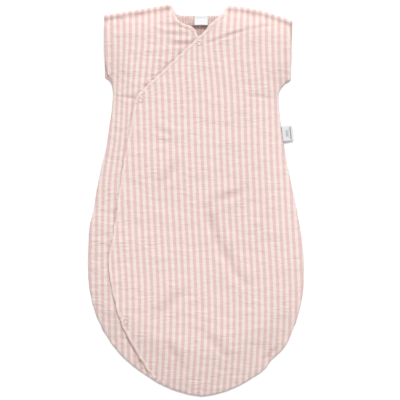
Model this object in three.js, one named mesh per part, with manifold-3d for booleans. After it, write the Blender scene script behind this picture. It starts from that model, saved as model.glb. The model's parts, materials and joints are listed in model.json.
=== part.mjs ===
// Baby sleeping bag with a wrap front, laid flat on its back and empty.
// Millimetres. +X points to the right of somebody looking down at the front, +Y to the neck and
// +Z up from the surface that the bag rests on. The origin is the middle of its footprint.
import * as THREE from 'three';
import { mergeVertices } from 'three/addons/utils/BufferGeometryUtils.js';
import Module from 'manifold-3d';

const wasm = await Module();
wasm.setup();

// ---------------------------------------------------------------- driving dimensions

const bagLength = 650; // shoulder to hem
const chestWidth = 276;
const hipWidth = 360; // the widest place, low down on the bag
const underarmY = 186;
const sideTopY = 162; // where the curve under each arm runs into the side seam
const hipY = -110;
const hemY = -bagLength / 2;
const hemLean = 10; // the bag lies with its foot a little to the right
const waistSway = 2.5; // and its middle a little to the left
const endFullness = 2.3; // an ellipse has 2 and 0.5
const endBluntness = 0.6;

const cloth = 2.4; // loft of one crinkled double-gauze layer
const layerGap = 0.4; // between the two front layers
const bodySpace = 12; // depth left between front and back when the bag lies empty
const edgeRound = 22; // how far in from the seam the front reaches its full height
const seamGap = 0.4; // between two separate pieces that are sewn together

const overInset = 0; // the over layer and the back are the outer skin
const underInset = cloth + layerGap; // the under layer lies just inside the over layer
const seamHeight = cloth + seamGap; // where the front layers meet the back
const overTop = cloth + bodySpace + cloth + layerGap + cloth;
const underTop = overTop - underInset;

const rightNeck = point(53, 322);
const leftNeck = point(-43, 325);
// A cuff's two ends, and the corner that the curve under the arm rounds off.
const rightCuff = { top: point(160, 297), bottom: point(157, 199), underarm: point(134, 189) };
const leftCuff = { top: point(-152, 307), bottom: point(-151, 204), underarm: point(-134, 197) };
const rightShoulderRise = 6; // how far a shoulder seam curves up from a straight line
const leftShoulderRise = 0.5;
const backNeckY = 306; // the straight middle of the back neckline
const snapOneAt = point(5.5, 258.5); // at the neck crossing
const snapTwoAt = point(-91, 165); // in the corner of the over flap
const snapThreeAt = point(-115, -199); // low on the side
const overCorner = point(-98, 171);
const underCorner = point(14, 250);
const foldFoot = point(-91, -264); // both flaps end here, where the over layer is tacked down
const overHemEnd = point(-69, -298); // where the over layer's edge runs into the hem seam
const underHemEnd = point(-50, hemY - 15); // the under layer's hidden corner, past the hem
const overFoldTop = point(46, 309);
const underFoldTop = point(-37, 312);
const foldGap = 0.5; // from each flap's fold line to the cloth on either side of it

const bindingWidth = 5;
const neckTape = { width: 22.6, reach: 16.5, x: 8.4 };
const sideTape = { width: 26, reach: 17, y: 110, turn: 0.1 };
const tapeLeaf = 0.5; // thickness of a label's tape
const tapeBend = 0.75; // outer radius of its fold

const far = 420; // past every edge of the bag
const overshoot = 15; // how far a cutting tool runs past what it cuts

// ---------------------------------------------------------------- small tools

function point(x, y) {
  return new THREE.Vector2(x, y);
}

// A closed three.js geometry as a solid that can be joined and cut.
function solid(geometry) {
  geometry.deleteAttribute('normal');
  geometry.deleteAttribute('uv');
  const merged = mergeVertices(geometry);
  return new wasm.Manifold(new wasm.Mesh({
    numProp: 3,
    vertProperties: new Float32Array(merged.attributes.position.array),
    triVerts: new Uint32Array(merged.index.array),
  }));
}

function geometryOf(body) {
  const mesh = body.getMesh();
  const geometry = new THREE.BufferGeometry();
  geometry.setAttribute('position', new THREE.BufferAttribute(mesh.vertProperties, 3));
  geometry.setIndex(new THREE.BufferAttribute(mesh.triVerts, 1));
  return geometry;
}

// Everything above an outline, from one height to another.
function prism(points, low = -50, high = 80) {
  const geometry = new THREE.ExtrudeGeometry(new THREE.Shape(points), {
    depth: high - low,
    bevelEnabled: false,
  });
  return solid(geometry.translate(0, 0, low));
}

function disc(at, radius, low, high) {
  const geometry = new THREE.CylinderGeometry(radius, radius, high - low, 24);
  geometry.rotateX(Math.PI / 2).translate(at.x, at.y, (low + high) / 2);
  return solid(geometry);
}

// The point `extra` further on along the line from one point through another.
function beyond(from, to, extra) {
  return to.clone().addScaledVector(to.clone().sub(from).normalize(), extra);
}

function curvePoints(points, divisions) {
  return new THREE.SplineCurve(points).getPoints(divisions);
}

// A path moved sideways by a distance, to the left of its direction of travel.
function movedSideways(path, distance) {
  return path.map((at, i) => {
    const before = path[Math.max(i - 1, 0)];
    const after = path[Math.min(i + 1, path.length - 1)];
    const along = after.clone().sub(before).normalize();
    return at.clone().add(point(-along.y, along.x).multiplyScalar(distance));
  });
}

// The strip between a path and the same path moved sideways.
function strip(path, near, away) {
  return prism([...movedSideways(path, near), ...movedSideways(path, away).reverse()]);
}

// All the cloth on the left (side = -1) or right (side = 1) of a line that runs up the bag.
function besideLine(foot, top, side) {
  const low = beyond(top, foot, far);
  const high = beyond(foot, top, far);
  const across = point(side * far * 2, 0);
  const step = point(side * foldGap, 0);
  return prism([low.clone().add(step), high.clone().add(step), high.clone().add(across),
    low.clone().add(across)]);
}

// ---------------------------------------------------------------- the bag's outline

// Swells smoothly from the chest to the hips; below them the bag closes in a blunt round end.
function halfWidth(y) {
  if (y > hipY) {
    const down = (underarmY - y) / (underarmY - hipY);
    const swell = down * down * (3 - 2 * down);
    return (chestWidth + (hipWidth - chestWidth) * swell) / 2;
  }
  const down = (hipY - y) / (hipY - hemY);
  return (hipWidth / 2) * Math.max(1 - down ** endFullness, 0) ** endBluntness;
}

function middleX(y) {
  if (y > hipY) return -waistSway * Math.sin(Math.PI * (underarmY - y) / (underarmY - hipY));
  return hemLean * ((hipY - y) / (hipY - hemY)) ** 1.5;
}

// One side of the bag from below the underarm to the hem; side is 1 on the right, -1 on the left.
function sidePoints(side) {
  const steps = 9;
  const points = [];
  for (let i = 0; i < steps; i += 1) {
    const y = sideTopY + (hipY - sideTopY) * (i / steps);
    points.push(point(middleX(y) + side * halfWidth(y), y));
  }
  for (let i = 0; i < steps; i += 1) {
    const y = hipY + (hemY - hipY) * Math.sin((i / steps) * Math.PI / 2);
    points.push(point(middleX(y) + side * halfWidth(y), y));
  }
  return points;
}

// The curve from a cuff's lower end under the arm to the top of the bag's side.
function underarmPoints(cuff, side) {
  const end = point(middleX(sideTopY) + side * halfWidth(sideTopY), sideTopY);
  return new THREE.QuadraticBezierCurve(cuff.bottom, cuff.underarm, end).getPoints(4).slice(0, -1);
}

// A shoulder seam from the neck to the cuff.
function shoulderPoints(neck, cuff, rise) {
  const middle = neck.clone().add(cuff.top).multiplyScalar(0.5).add(point(0, 2 * rise));
  return new THREE.QuadraticBezierCurve(neck, middle, cuff.top).getPoints(4);
}

// Past the cuffs and the neck the outline runs on, so that cutting there leaves open ends.
function bagOutline() {
  const runOn = 40;
  const up = point(0, runOn);
  const rightUnderarm = underarmPoints(rightCuff, 1);
  const leftUnderarm = underarmPoints(leftCuff, -1);
  const rightShoulder = shoulderPoints(rightNeck, rightCuff, rightShoulderRise);
  const leftShoulder = shoulderPoints(leftNeck, leftCuff, leftShoulderRise);
  const points = [
    rightNeck.clone().add(up),
    ...rightShoulder,
    beyond(rightShoulder[rightShoulder.length - 2], rightCuff.top, runOn),
    beyond(rightUnderarm[1], rightCuff.bottom, runOn),
    ...rightUnderarm,
    ...sidePoints(1),
    point(hemLean, hemY),
    ...sidePoints(-1).reverse(),
    ...leftUnderarm.reverse(),
    beyond(leftUnderarm[leftUnderarm.length - 2], leftCuff.bottom, runOn),
    beyond(leftShoulder[leftShoulder.length - 2], leftCuff.top, runOn),
    ...leftShoulder.reverse(),
    leftNeck.clone().add(up),
  ];
  return new THREE.Shape(points);
}

// The filled form under the flattened front, `inset` inside its outer skin: a round shoulder rises
// from the seam to the flat top. It runs on below the bag.
function pillow(inset) {
  const tall = 60;
  const rise = overTop - seamHeight - inset;
  const geometry = new THREE.ExtrudeGeometry(bagOutline(), {
    depth: tall,
    bevelSize: edgeRound,
    bevelOffset: -edgeRound - inset,
    bevelThickness: rise,
    bevelSegments: 4,
  });
  return solid(geometry.translate(0, 0, overTop - inset - tall - rise));
}

// ---------------------------------------------------------------- cutting tools

// Outside each cuff, across the sleeve's open end.
function cuffCut(cuff) {
  const side = Math.sign(cuff.top.x);
  const top = beyond(cuff.bottom, cuff.top, far);
  const bottom = beyond(cuff.top, cuff.bottom, overshoot);
  return prism([top, bottom, bottom.clone().add(point(side * far, 0)),
    top.clone().add(point(side * far, 0))]);
}

// Above the back neckline, which drops from each shoulder and is straight in the middle.
function neckCut() {
  const curve = curvePoints([leftNeck, point(-33, backNeckY + 4), point(-20, backNeckY),
    point(32, backNeckY), point(44, backNeckY + 3), rightNeck], 15);
  return prism([...curve, point(rightNeck.x, far), point(leftNeck.x, far)]);
}

// The free edge of the over layer: from the right shoulder round the neck, straight down to the
// corner, then down the left side and in to the hem.
function overEdge() {
  const neckline = curvePoints([rightNeck, overFoldTop, point(34, 298), point(23, 289),
    point(17, 280), point(3, 267)], 12);
  const side = curvePoints([overCorner, point(-108, 119), point(-122, 41), point(-135, -53),
    point(-143, -110), point(-125, -196), foldFoot, overHemEnd], 24);
  return [...neckline, ...side];
}

// The free edge of the under layer, hidden below the neck crossing.
function underEdge() {
  const neckline = curvePoints([leftNeck, underFoldTop, point(-31, 298), point(-20, 290),
    point(-8, 286), point(-1, 279), point(3, 270), point(12, 262), underCorner], 24);
  return [...neckline, foldFoot];
}

// ---------------------------------------------------------------- ring snaps

// Heights of the parts of a closed snap, from the over layer's top to the under layer's underside.
const snap = {
  ringRadius: 4.75,
  ringHole: 2.6,
  neckRadius: 3.1, // the part of each half that passes through the cloth
  clothHole: 3.5,
  pocketRadius: 5.2, // where the cloth is pressed thin
  pressedCloth: 0.8,
  plate: 0.8, // thickness of a ring
  socketDepth: 1.3,
  postRadius: 1.9,
  socketHole: 2.3,
  engagement: 1, // how far a closed stud's post reaches into the socket
  chamfer: 0.3,
  clearance: 0.3,
};

const overCloth = { high: overTop - snap.clearance, low: overTop - snap.clearance - snap.pressedCloth };
const underCloth = { low: underTop - cloth + snap.clearance };
underCloth.high = underCloth.low + snap.pressedCloth;
const socket = { high: overCloth.low - snap.clearance };
socket.low = socket.high - snap.socketDepth;
const studBase = { low: underCloth.high + snap.clearance };
studBase.high = studBase.low + snap.plate;

// A turned piece from its (radius, height) profile.
function turned(profile, at) {
  const points = profile.map(([radius, height]) => point(radius, height));
  points.push(points[0].clone());
  return solid(new THREE.LatheGeometry(points, 24).rotateX(Math.PI / 2).translate(at.x, at.y, 0));
}

// The open ring seen on the front, with the collar of prongs that goes down through the cloth.
function frontRing(at) {
  const low = overCloth.high + snap.clearance;
  const high = low + snap.plate;
  const collarEnd = overCloth.low;
  return turned([[snap.ringHole, collarEnd], [snap.neckRadius, collarEnd], [snap.neckRadius, low],
    [snap.ringRadius, low], [snap.ringRadius - snap.chamfer, high], [snap.ringHole, high]], at);
}

function snapSocket(at) {
  return turned([[snap.socketHole, socket.low], [snap.ringRadius - snap.chamfer, socket.low],
    [snap.ringRadius, socket.low + snap.chamfer], [snap.ringRadius, socket.high],
    [snap.socketHole, socket.high]], at);
}

function snapStud(at) {
  const postTop = socket.low + snap.engagement;
  const baseRadius = snap.ringRadius - snap.chamfer;
  return turned([[0, studBase.low], [baseRadius, studBase.low], [baseRadius, studBase.high],
    [snap.postRadius, studBase.high], [snap.postRadius, postTop - snap.chamfer],
    [snap.postRadius - snap.chamfer, postTop], [0, postTop]], at);
}

// The ring inside the bag, with its collar of prongs going up through the cloth.
function backRing(at) {
  const high = underCloth.low - snap.clearance;
  const low = high - snap.plate;
  const collarEnd = underCloth.high;
  return turned([[snap.ringHole, low], [snap.ringRadius - snap.chamfer, low],
    [snap.ringRadius, high], [snap.neckRadius, high], [snap.neckRadius, collarEnd],
    [snap.ringHole, collarEnd]], at);
}

// The cloth taken away for the half of a snap that is set in the over layer.
function overSnapCut(at) {
  const above = overTop + overshoot;
  return disc(at, snap.clothHole, underTop, above)
    .add(disc(at, snap.pocketRadius, underTop, overCloth.low))
    .add(disc(at, snap.pocketRadius, overCloth.high, above));
}

function underSnapCut(at) {
  const below = underTop - cloth - overshoot;
  return disc(at, snap.clothHole, below, overTop)
    .add(disc(at, snap.pocketRadius, underCloth.high, overTop))
    .add(disc(at, snap.pocketRadius, below, underCloth.low));
}

// ---------------------------------------------------------------- cloth pieces

const skins = [overInset, overInset + cloth, underInset, underInset + cloth].map(pillow);
const outerSkin = skins[0].subtract(skins[1]);
const innerSkin = skins[2].subtract(skins[3]);
const frame = [point(-far, -far), point(far, -far), point(far, far), point(-far, far)];
const aboveSeam = prism(frame, seamHeight, overTop + overshoot);
const cuffCuts = cuffCut(rightCuff).add(cuffCut(leftCuff));
const overSkin = outerSkin.intersect(aboveSeam).subtract(cuffCuts);
const underSkin = innerSkin.intersect(aboveSeam).subtract(cuffCuts);

const overEdgePath = overEdge();
const underEdgePath = underEdge();
const overArea = prism([...overEdgePath, point(overHemEnd.x, -far), point(far, -far),
  point(far, far), point(rightNeck.x, far)]);
const underArea = prism([...underEdgePath, point(-far, foldFoot.y), point(-far, far),
  point(leftNeck.x, far)]);
const leftOfOverFold = besideLine(foldFoot, overFoldTop, -1);
const rightOfOverFold = besideLine(foldFoot, overFoldTop, 1);
const rightOfUnderFold = besideLine(foldFoot, underFoldTop, 1);

// Lies flat, with its lower edge a little rounded.
function backPanel() {
  const soften = 0.8;
  const geometry = new THREE.ExtrudeGeometry(bagOutline(), {
    depth: cloth - 2 * soften,
    bevelSize: soften,
    bevelOffset: -soften,
    bevelThickness: soften,
    bevelSegments: 1,
  });
  return solid(geometry.translate(0, 0, soften)).subtract(cuffCuts).subtract(neckCut());
}

function rightFrontPanel() {
  return overSkin.intersect(overArea).intersect(rightOfOverFold);
}

// Left of its fold line; below the fold line's foot it runs on to the right, under the over layer.
function leftFrontPanel() {
  const step = point(-foldGap, 0);
  const area = prism([leftNeck, underFoldTop.clone().add(step), foldFoot.clone().add(step),
    underHemEnd, point(-far, -far), point(-far, far), point(leftNeck.x, far)]);
  return underSkin.intersect(area).subtract(underSnapCut(snapTwoAt))
    .subtract(underSnapCut(snapThreeAt));
}

function overFlap() {
  const flap = overSkin.intersect(overArea).intersect(leftOfOverFold)
    .subtract(strip(overEdgePath, -overshoot, bindingWidth + seamGap));
  return cutAll(flap, overSnapCut, [snapOneAt, snapTwoAt, snapThreeAt]);
}

function overEdgeBinding() {
  const binding = overSkin.intersect(leftOfOverFold).intersect(strip(overEdgePath, 0, bindingWidth))
    .intersect(overArea);
  return cutAll(binding, overSnapCut, [snapOneAt, snapTwoAt, snapThreeAt]);
}

function underFlap() {
  const flap = underSkin.intersect(underArea).intersect(rightOfUnderFold)
    .subtract(strip(underEdgePath, overshoot, -bindingWidth - seamGap));
  return flap.subtract(underSnapCut(snapOneAt));
}

function underEdgeBinding() {
  return underSkin.intersect(underArea).intersect(rightOfUnderFold)
    .intersect(strip(underEdgePath, 0, -bindingWidth)).subtract(underSnapCut(snapOneAt));
}

function cutAll(body, cut, places) {
  return places.reduce((left, at) => left.subtract(cut(at)), body);
}

// ---------------------------------------------------------------- neck casing, elastic and labels

const casing = { left: -35, right: 43, width: 17, thickness: 3.2, wall: 0.8, elasticEnd: 2 };
casing.top = backNeckY - 0.5;
casing.low = cloth + seamGap;
casing.high = casing.low + casing.thickness;

function box(low, high) {
  const size = high.map((value, axis) => value - low[axis]);
  const middle = high.map((value, axis) => (value + low[axis]) / 2);
  return solid(new THREE.BoxGeometry(...size).translate(...middle));
}

// A flat tube of cloth along the inside of the back neckline, open at both ends.
function neckCasing() {
  const bottom = casing.top - casing.width;
  const outside = box([casing.left, bottom, casing.low], [casing.right, casing.top, casing.high]);
  const channel = box(
    [casing.left - overshoot, bottom + casing.wall, casing.low + casing.wall],
    [casing.right + overshoot, casing.top - casing.wall, casing.high - casing.wall]);
  return outside.subtract(channel);
}

// The elastic stands out of both ends of the casing and is narrower than its channel.
function neckElastic() {
  const slack = casing.wall + 0.3;
  const edge = slack + 1;
  return box(
    [casing.left - casing.elasticEnd, casing.top - casing.width + edge, casing.low + slack],
    [casing.right + casing.elasticEnd, casing.top - edge, casing.high - slack]);
}

// A label folded in half: two thin leaves joined by a round fold, drawn in its own flat frame with
// the open end at zero, then laid flat. `reach` is the length from the open end to the fold.
function foldedLabel({ width, reach }) {
  const inside = tapeBend - tapeLeaf;
  const bendAt = reach - tapeBend;
  const profile = new THREE.Shape();
  profile.moveTo(0, tapeBend);
  profile.lineTo(bendAt, tapeBend);
  profile.absarc(bendAt, 0, tapeBend, Math.PI / 2, -Math.PI / 2, true);
  profile.lineTo(0, -tapeBend);
  profile.lineTo(0, -inside);
  profile.lineTo(bendAt, -inside);
  profile.absarc(bendAt, 0, inside, -Math.PI / 2, Math.PI / 2, false);
  profile.lineTo(0, inside);
  const geometry = new THREE.ExtrudeGeometry(profile, {
    depth: width,
    bevelEnabled: false,
    curveSegments: 6,
  });
  return geometry.translate(0, 0, -width / 2).rotateX(Math.PI / 2);
}

// Lies on the casing in the middle of the back neck, its fold towards the foot of the bag.
function neckLabel() {
  const height = casing.high + seamGap + tapeBend;
  const tape = foldedLabel(neckTape).rotateZ(-Math.PI / 2);
  return solid(tape.translate(neckTape.x, casing.top, height));
}

// Stands out of the side seam on the right, square to it.
function sideLabel() {
  const clearOfSeam = 1.5;
  const seamX = middleX(sideTape.y) + halfWidth(sideTape.y);
  const tape = foldedLabel(sideTape).rotateZ(sideTape.turn);
  return solid(tape.translate(seamX + clearOfSeam, sideTape.y, seamHeight + 1));
}

// ---------------------------------------------------------------- the finished bag

const finishes = {
  gauze: { color: 0xebc8c4, roughness: 0.95, metalness: 0 },
  binding: { color: 0xfbe6de, roughness: 0.95, metalness: 0 },
  elastic: { color: 0xf4f1ec, roughness: 0.8, metalness: 0 },
  label: { color: 0xfafafa, roughness: 0.7, metalness: 0 },
  snapMetal: { color: 0xcfc3b8, roughness: 0.35, metalness: 0.8 },
};
const materials = Object.fromEntries(Object.entries(finishes)
  .map(([name, finish]) => [name, new THREE.MeshStandardMaterial(finish)]));

const sleepingBag = new THREE.Group();

function place(name, body, material) {
  const mesh = new THREE.Mesh(geometryOf(body), materials[material]);
  mesh.name = name;
  sleepingBag.add(mesh);
}

place('back_panel', backPanel(), 'gauze');
place('right_front_panel', rightFrontPanel(), 'gauze');
place('left_front_panel', leftFrontPanel(), 'gauze');
place('over_flap', overFlap(), 'gauze');
place('over_edge_binding', overEdgeBinding(), 'binding');
place('under_flap', underFlap(), 'gauze');
place('under_edge_binding', underEdgeBinding(), 'binding');
place('neck_casing', neckCasing(), 'gauze');
place('neck_elastic', neckElastic(), 'elastic');
place('neck_label', neckLabel(), 'label');
place('side_label', sideLabel(), 'label');

[snapOneAt, snapTwoAt, snapThreeAt].forEach((at, i) => {
  const name = `snap_${i + 1}`;
  place(`${name}_front_ring`, frontRing(at), 'snapMetal');
  place(`${name}_socket`, snapSocket(at), 'snapMetal');
  place(`${name}_stud`, snapStud(at), 'snapMetal');
  place(`${name}_back_ring`, backRing(at), 'snapMetal');
});

export default sleepingBag;
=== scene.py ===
"""A baby sleeping bag with a wrap front, lying flat on its back: its cloth, trims and snaps."""

import json
import math

import bpy
import numpy as np
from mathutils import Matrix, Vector, noise
from mathutils.bvhtree import BVHTree
from mathutils.geometry import delaunay_2d_cdt


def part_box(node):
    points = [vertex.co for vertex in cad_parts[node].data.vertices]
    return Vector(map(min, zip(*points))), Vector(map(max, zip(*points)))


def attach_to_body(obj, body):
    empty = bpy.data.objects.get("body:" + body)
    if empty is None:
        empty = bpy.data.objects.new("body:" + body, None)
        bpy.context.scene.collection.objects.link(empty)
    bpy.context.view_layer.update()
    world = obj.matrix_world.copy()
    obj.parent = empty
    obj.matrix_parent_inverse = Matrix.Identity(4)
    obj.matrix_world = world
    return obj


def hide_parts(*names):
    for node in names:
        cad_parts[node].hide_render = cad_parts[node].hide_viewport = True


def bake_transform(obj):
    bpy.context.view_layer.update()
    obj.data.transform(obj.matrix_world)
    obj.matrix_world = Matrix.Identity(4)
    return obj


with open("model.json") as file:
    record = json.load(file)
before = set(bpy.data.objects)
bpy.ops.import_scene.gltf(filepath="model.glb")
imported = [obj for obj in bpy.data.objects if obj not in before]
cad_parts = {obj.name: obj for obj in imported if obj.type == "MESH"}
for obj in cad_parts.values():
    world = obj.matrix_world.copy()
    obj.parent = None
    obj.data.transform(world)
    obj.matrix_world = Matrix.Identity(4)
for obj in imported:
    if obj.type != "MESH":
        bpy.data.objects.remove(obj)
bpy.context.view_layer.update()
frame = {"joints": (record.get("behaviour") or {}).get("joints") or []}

# Lengths below are in millimetres, and places are in the frame's own axes.
MM = 1000.0

# ------------------------------------------------------------------ sizes read from the frame


def node_box(name):
    """The lowest and highest corner of a CAD node."""
    low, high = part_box(name)
    return np.array(low) * MM, np.array(high) * MM


def node_middle(name):
    low, high = node_box(name)
    return (low + high) / 2


def fold_line(joint_name):
    """A flap's fold: the foot of its hinge line, the direction up the bag, and the axis height."""
    joint = next(j for j in frame["joints"] if j["name"] == joint_name)
    place = np.array(joint["pos_m"]) * MM
    along = np.array(joint["axis"][:2])
    return place[:2], along / np.linalg.norm(along), place[2]


back_low, back_high = node_box("back_panel")
HEM_Y = back_low[1]
HIP_WIDTH = back_high[0] - back_low[0]
OVER_TOP = node_box("over_flap")[1][2]
OVER_FOOT, OVER_ALONG, OVER_AXIS_Z = fold_line("over_flap_open")
UNDER_FOOT, UNDER_ALONG, UNDER_AXIS_Z = fold_line("under_flap_open")
SNAPS = [node_middle(f"snap_{i}_front_ring") for i in (1, 2, 3)]

# ------------------------------------------------------------------ driving dimensions

CHEST_WIDTH = 276
UNDERARM_Y = 186
SIDE_TOP_Y = 162  # where the underarm curve meets the side
HIP_Y = -110
END_FULLNESS = 2.3  # the round foot; an ellipse has 2 and 0.5
END_BLUNTNESS = 0.6
HEM_LEAN = 10  # the bag lies with its foot a little to the right
WAIST_SWAY = 2.5  # and its middle a little to the left
RIGHT_NECK = (53, 322)
LEFT_NECK = (-43, 325)
# A cuff's top and bottom, and the corner that the curve under the arm rounds off.
RIGHT_CUFF = ((160, 297), (157, 199), (134, 189))
LEFT_CUFF = ((-152, 307), (-151, 204), (-134, 197))
# How far the front's edge lies inside the back's: (way down the cuff from 0 to 1, distance).
RIGHT_CUFF_GAPE = [(0, 0), (0.1, 3.2), (0.3, 2.2), (0.6, 0.7), (1, 0.6)]
LEFT_CUFF_GAPE = [(0, 0), (0.3, 0.3), (0.7, 0.8), (0.95, 4)]
RIGHT_SHOULDER_RISE = 6  # how far a shoulder seam curves up from a straight line
LEFT_SHOULDER_RISE = 0.5
BACK_NECK_Y = 306
NECK_MIDDLE = 6
RIGHT = (RIGHT_NECK, RIGHT_CUFF, 1)
LEFT = (LEFT_NECK, LEFT_CUFF, -1)
OVER_CORNER = (-98, 171)
UNDER_CORNER = (14, 250)
OVER_FOLD_TOP = (46, 309)
UNDER_FOLD_TOP = (-37, 312)
# The front neckline below the folds, down to where the two layers cross.
OVER_NECKLINE = [(34, 298), (23, 289), (17, 280), (3, 267)]
UNDER_NECKLINE = [(-31, 298), (-20, 290), (-8, 286), (-1, 279), (3, 270)]
OVER_HEM_END = (-69, -298)  # where the over layer's edge runs into the hem
# Where the over layer's edge stands away from the layer below.
GAP_START, GAP_END = np.array([-109, -230]), np.array([-80, -280])
GAP_REACH = 11  # how far to each side of that line
GAP_LIFT, GAP_SINK = 2.6, 2.4  # how far the over layer goes up there, and the under layer down
# Painted shade: the places of dark spots where folds gape beside the over layer's edge.
HEM_GAP_SHADES = np.array([(-94, -267), (-80, -282)])  # folds that gape beside the over layer's edge
UNDER_FOOT_END = (-40, -285)  # the under layer's hidden corner below its fold
SEAM_DRAW = 1  # how far a sewn seam draws in the cloth
# Where a side seam stands out or is drawn in: the side, the place up the bag, how far it stands
# out, and over what length.
SEAM_WAVES = [(1, -238, 2.5, 14), (1, -266, -3.0, 6), (1, -283, 2.0, 8), (-1, -290, -1.8, 14),
              (-1, 86, -1.2, 20), (-1, -8, -1.5, 18), (-1, -48, 1.4, 12), (1, 110, 1.0, 30)]

CLOTH = 1.2  # one layer of gauze
LAYER_DROP = 3.3  # from the top of the over layer to the top of the under layer
SEAM_Z = 3.0  # the front's edge where it is sewn to the back
CROWN_Z = OVER_TOP - 0.9
BACK_Z = 1.9  # the back's upper surface
SLEEVE_DROP = 6.5  # how much lower the front lies at the cuffs
RIM = 46  # width of the slope from the seam to the crown
FOOT_RIM = 60  # how much wider it is at the foot, which lies flatter
FOOT_LENGTH = 150
MESH_STEP = 2.3
BACK_MESH_STEP = 1.1 * MESH_STEP
STRIPE = 10.36  # one pink and one cream stripe
WARP_PITCH, WEFT_PITCH = 0.62, 0.7  # from one thread to the next
BINDING_WIDTH = 4.6
HEM_WIDTH = 9.5
SNAP_RADIUS = 4.75
SNAP_HOLE = 2.6
SNAP_SQUEEZE = 0.7  # how far a snap presses the under layer down
SNAP_DISH = 4  # width of the dip round a snap

# How far the stripes lean, in degrees, at places up the bag. Stripes that run to the right on
# their way down lean by a positive angle. Each layer's pattern is also moved sideways.
OVER_LEAN = [(-325, -4), (-276, -4), (-196, -0.5), (-116, 3.2), (40, 2.7), (83, 1.5), (163, 2),
             (202, 5), (242, 2), (282, -2), (325, -3)]
UNDER_LEAN = [(-325, 1), (-200, 1), (43, -1.4), (123, -3.5), (163, -2.5), (202, -6),
              (242, -5), (282, 1), (325, 3)]
CUFF_LEAN = [(-325, 1), (-200, 1), (43, -1.4), (123, -3.5), (163, -2), (202, -1.5), (242, 1),
             (325, 3)]
OVER_STRIPE_SHIFT = -4.2
UNDER_STRIPE_SHIFT = -4.0
# The layers are cut from different places in the cloth, so their slubs differ.
UNDER_CUT, BACK_CUT, CASING_CUT, BINDING_CUT = 400, 800, 1600, 30

# ------------------------------------------------------------------ outlines


def bump(distance, width):
    """1 at no distance, falling smoothly to 0."""
    return np.exp(-((distance / width) ** 2))


def smooth(t):
    """A smooth step from 0 to 1 while t goes from 0 to 1."""
    t = np.clip(t, 0, 1)
    return t * t * (3 - 2 * t)


def spline(points, steps):
    """A smooth curve through points (Catmull-Rom)."""
    p = np.array(points, float)
    padded = np.vstack([2 * p[0] - p[1], p, 2 * p[-1] - p[-2]])
    t = np.linspace(0, 1, steps, endpoint=False)[:, None]
    pieces = []
    for a, b, c, d in zip(padded, padded[1:], padded[2:], padded[3:]):
        pieces.append(
            b
            + 0.5 * t * (c - a)
            + t**2 * (a - 2.5 * b + 2 * c - 0.5 * d)
            + t**3 * (1.5 * (b - c) + 0.5 * (d - a))
        )
    return np.vstack(pieces + [p[-1:]])


def noise_along(way, length, seed):
    """Smooth noise from -1 to 1 at places along a line."""
    return np.array([noise.noise(Vector((w / length, seed, 0))) for w in way])


def half_width(y):
    """Half of the bag's width at a height below the arms."""
    down = (UNDERARM_Y - y) / (UNDERARM_Y - HIP_Y)
    swell = down**2 * (3 - 2 * down)
    upper = (CHEST_WIDTH + (HIP_WIDTH - CHEST_WIDTH) * swell) / 2
    below = np.clip((HIP_Y - y) / (HIP_Y - HEM_Y), 0, 1)
    lower = HIP_WIDTH / 2 * (1 - below**END_FULLNESS) ** END_BLUNTNESS
    return np.where(y > HIP_Y, upper, lower)


def middle_x(y):
    """The middle of the bag at a height."""
    upper = -WAIST_SWAY * np.sin(np.pi * (UNDERARM_Y - y) / (UNDERARM_Y - HIP_Y))
    below = np.clip((HIP_Y - y) / (HIP_Y - HEM_Y), 0, 1)
    return np.where(y > HIP_Y, upper, HEM_LEAN * below**1.5)


def side_curve(side):
    """The bag's side from under the arm to the hem's lowest point."""
    upper = np.linspace(SIDE_TOP_Y, HIP_Y, 40, endpoint=False)
    lower = HIP_Y + (HEM_Y - HIP_Y) * np.sin(np.linspace(0, np.pi / 2, 60))
    y = np.concatenate([upper, lower])
    pucker = noise_along(y, 11, 3 * side)
    pucker *= np.minimum(1, (y - HEM_Y) / 25)
    wave = sum(out * bump(y - place, length) for where, place, out, length in SEAM_WAVES
               if where == side)
    return np.stack([middle_x(y) + side * (half_width(y) + 0.9 * pucker + wave - SEAM_DRAW), y], 1)


def underarm_curve(cuff, side):
    """From the cuff's lower end, under the arm, to the top of the side."""
    t = np.linspace(0, 1, 14, endpoint=False)[:, None]
    start, corner = np.array(cuff[1]), np.array(cuff[2])
    end = side_curve(side)[0]
    return (1 - t) ** 2 * start + 2 * t * (1 - t) * corner + t**2 * end


def wavering(path, amount, length, seed):
    """The path with its middle moved a little sideways, the way a hand-laid edge wanders."""
    step, still_end = 4.0, 20
    places = resample(path, step)
    direction = np.gradient(places, axis=0)
    direction /= np.linalg.norm(direction, axis=1, keepdims=True)
    way = np.arange(len(places)) * step
    sideways = noise_along(way, length, seed)
    sideways *= amount * np.minimum(1, np.minimum(way, way[::-1]) / still_end)
    return places + sideways[:, None] * left_of(direction)


def left_of(direction):
    """The directions turned a quarter to the left."""
    return np.stack([-direction[:, 1], direction[:, 0]], 1)


def over_edge():
    """The over layer's free edge, from the right shoulder round the neck and down to the hem."""
    neckline = spline([RIGHT_NECK, OVER_FOLD_TOP, *OVER_NECKLINE], 6)
    side = spline(
        [OVER_CORNER, (-108, 119), (-122, 41), (-135, -53), (-143, -110), (-125, -196),
         tuple(OVER_FOOT), OVER_HEM_END], 14)
    return np.vstack([wavering(np.vstack([neckline, side[:1]]), 2.1, 9, 2)[:-1],
                      wavering(side, 1.4, 14, 7)])


def under_edge():
    """The under layer's free edge, from the left shoulder under the over layer to its foot."""
    neckline = spline(
        [LEFT_NECK, UNDER_FOLD_TOP, *UNDER_NECKLINE, (12, 262), UNDER_CORNER], 6)
    return np.vstack([neckline, [UNDER_FOOT]])


def back_neckline():
    return spline([LEFT_NECK, (-33, BACK_NECK_Y + 4), (-20, BACK_NECK_Y), (32, BACK_NECK_Y),
                   (44, BACK_NECK_Y + 3), RIGHT_NECK], 8)


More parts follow.
